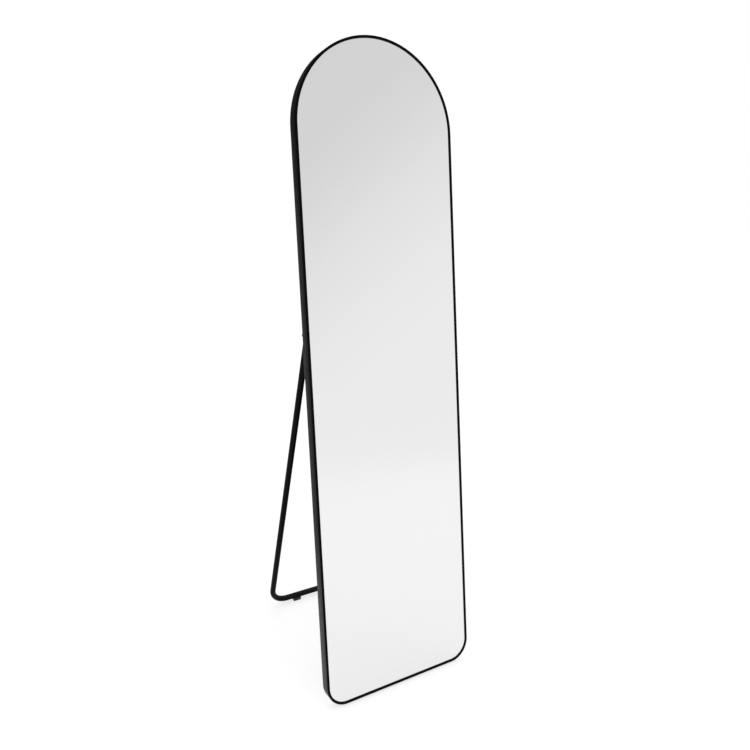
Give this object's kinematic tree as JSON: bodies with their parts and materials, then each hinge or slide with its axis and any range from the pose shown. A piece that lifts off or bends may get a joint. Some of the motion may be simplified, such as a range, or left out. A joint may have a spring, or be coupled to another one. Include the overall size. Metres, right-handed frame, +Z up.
{
  "type": "leaning floor mirror",
  "caption": "Tall arched floor mirror in a slim black metal frame, leaning back on a U-shaped tube stand that folds flat behind it.",
  "frame": {"origin": "on the floor, in the middle of the box round the standing mirror with its stand open", "axes": "+Z up; the mirror faces -Y and leans back towards +Y; +X is to the right seen from the front"},
  "size_m": [0.4, 0.4, 1.4787],
  "materials": {
    "frame_black": "matt black powder coat on an aluminium extrusion",
    "aluminium_plain": "plain mill finish",
    "mirror_glass": "clear float glass silvered on its back",
    "film": "thin safety film stuck to the glass's back",
    "foam": "light foamed polyethylene sheet",
    "board_black": "thin fibreboard with a black paper face",
    "tube_black": "matt black powder coat on steel tube",
    "bracket_black": "matt black powder coat on pressed steel",
    "screw_black": "black zinc",
    "screw_zinc": "bright zinc",
    "bolt_black": "black zinc",
    "zinc": "bright zinc",
    "nylon": "natural nylon",
    "plastic_black": "moulded black plastic",
    "rubber_black": "soft black rubber"
  },
  "bodies": {
    "mirror_panel": {"frame_profile": "frame_black", "frame_splice": "aluminium_plain", "splice_screws": "screw_black", "mirror_glass": "mirror_glass", "safety_film": "film", "cushion_sheet": "foam", "back_board": "board_black", "board_screws": "screw_black", "hanger_screws": "screw_black", "base_pad_left": "rubber_black", "wall_hanger_left": "bracket_black", "hinge_bracket_left": "bracket_black", "bracket_screws_left": "screw_black", "pivot_bolt_left": "bolt_black", "spacer_outer_left": "nylon", "spacer_inner_left": "nylon", "pivot_washer_left": "zinc", "lock_nut_left": "zinc", "base_pad_right": "rubber_black", "wall_hanger_right": "bracket_black", "hinge_bracket_right": "bracket_black", "bracket_screws_right": "screw_black", "pivot_bolt_right": "bolt_black", "spacer_outer_right": "nylon", "spacer_inner_right": "nylon", "pivot_washer_right": "zinc", "lock_nut_right": "zinc"},
    "stand": {"stand_tube": "tube_black", "foot_screws": "screw_zinc", "tube_cap_left": "plastic_black", "tube_cap_right": "plastic_black", "stand_foot_left": "rubber_black", "stand_foot_right": "rubber_black"}
  },
  "joints": [
    {"name": "stand_fold", "type": "hinge", "parent": "mirror_panel", "child": "stand", "pos_m": [0, 0.00029, 0.84349], "axis": [1, 0, 0], "range_deg": [-24, 0]}
  ]
}
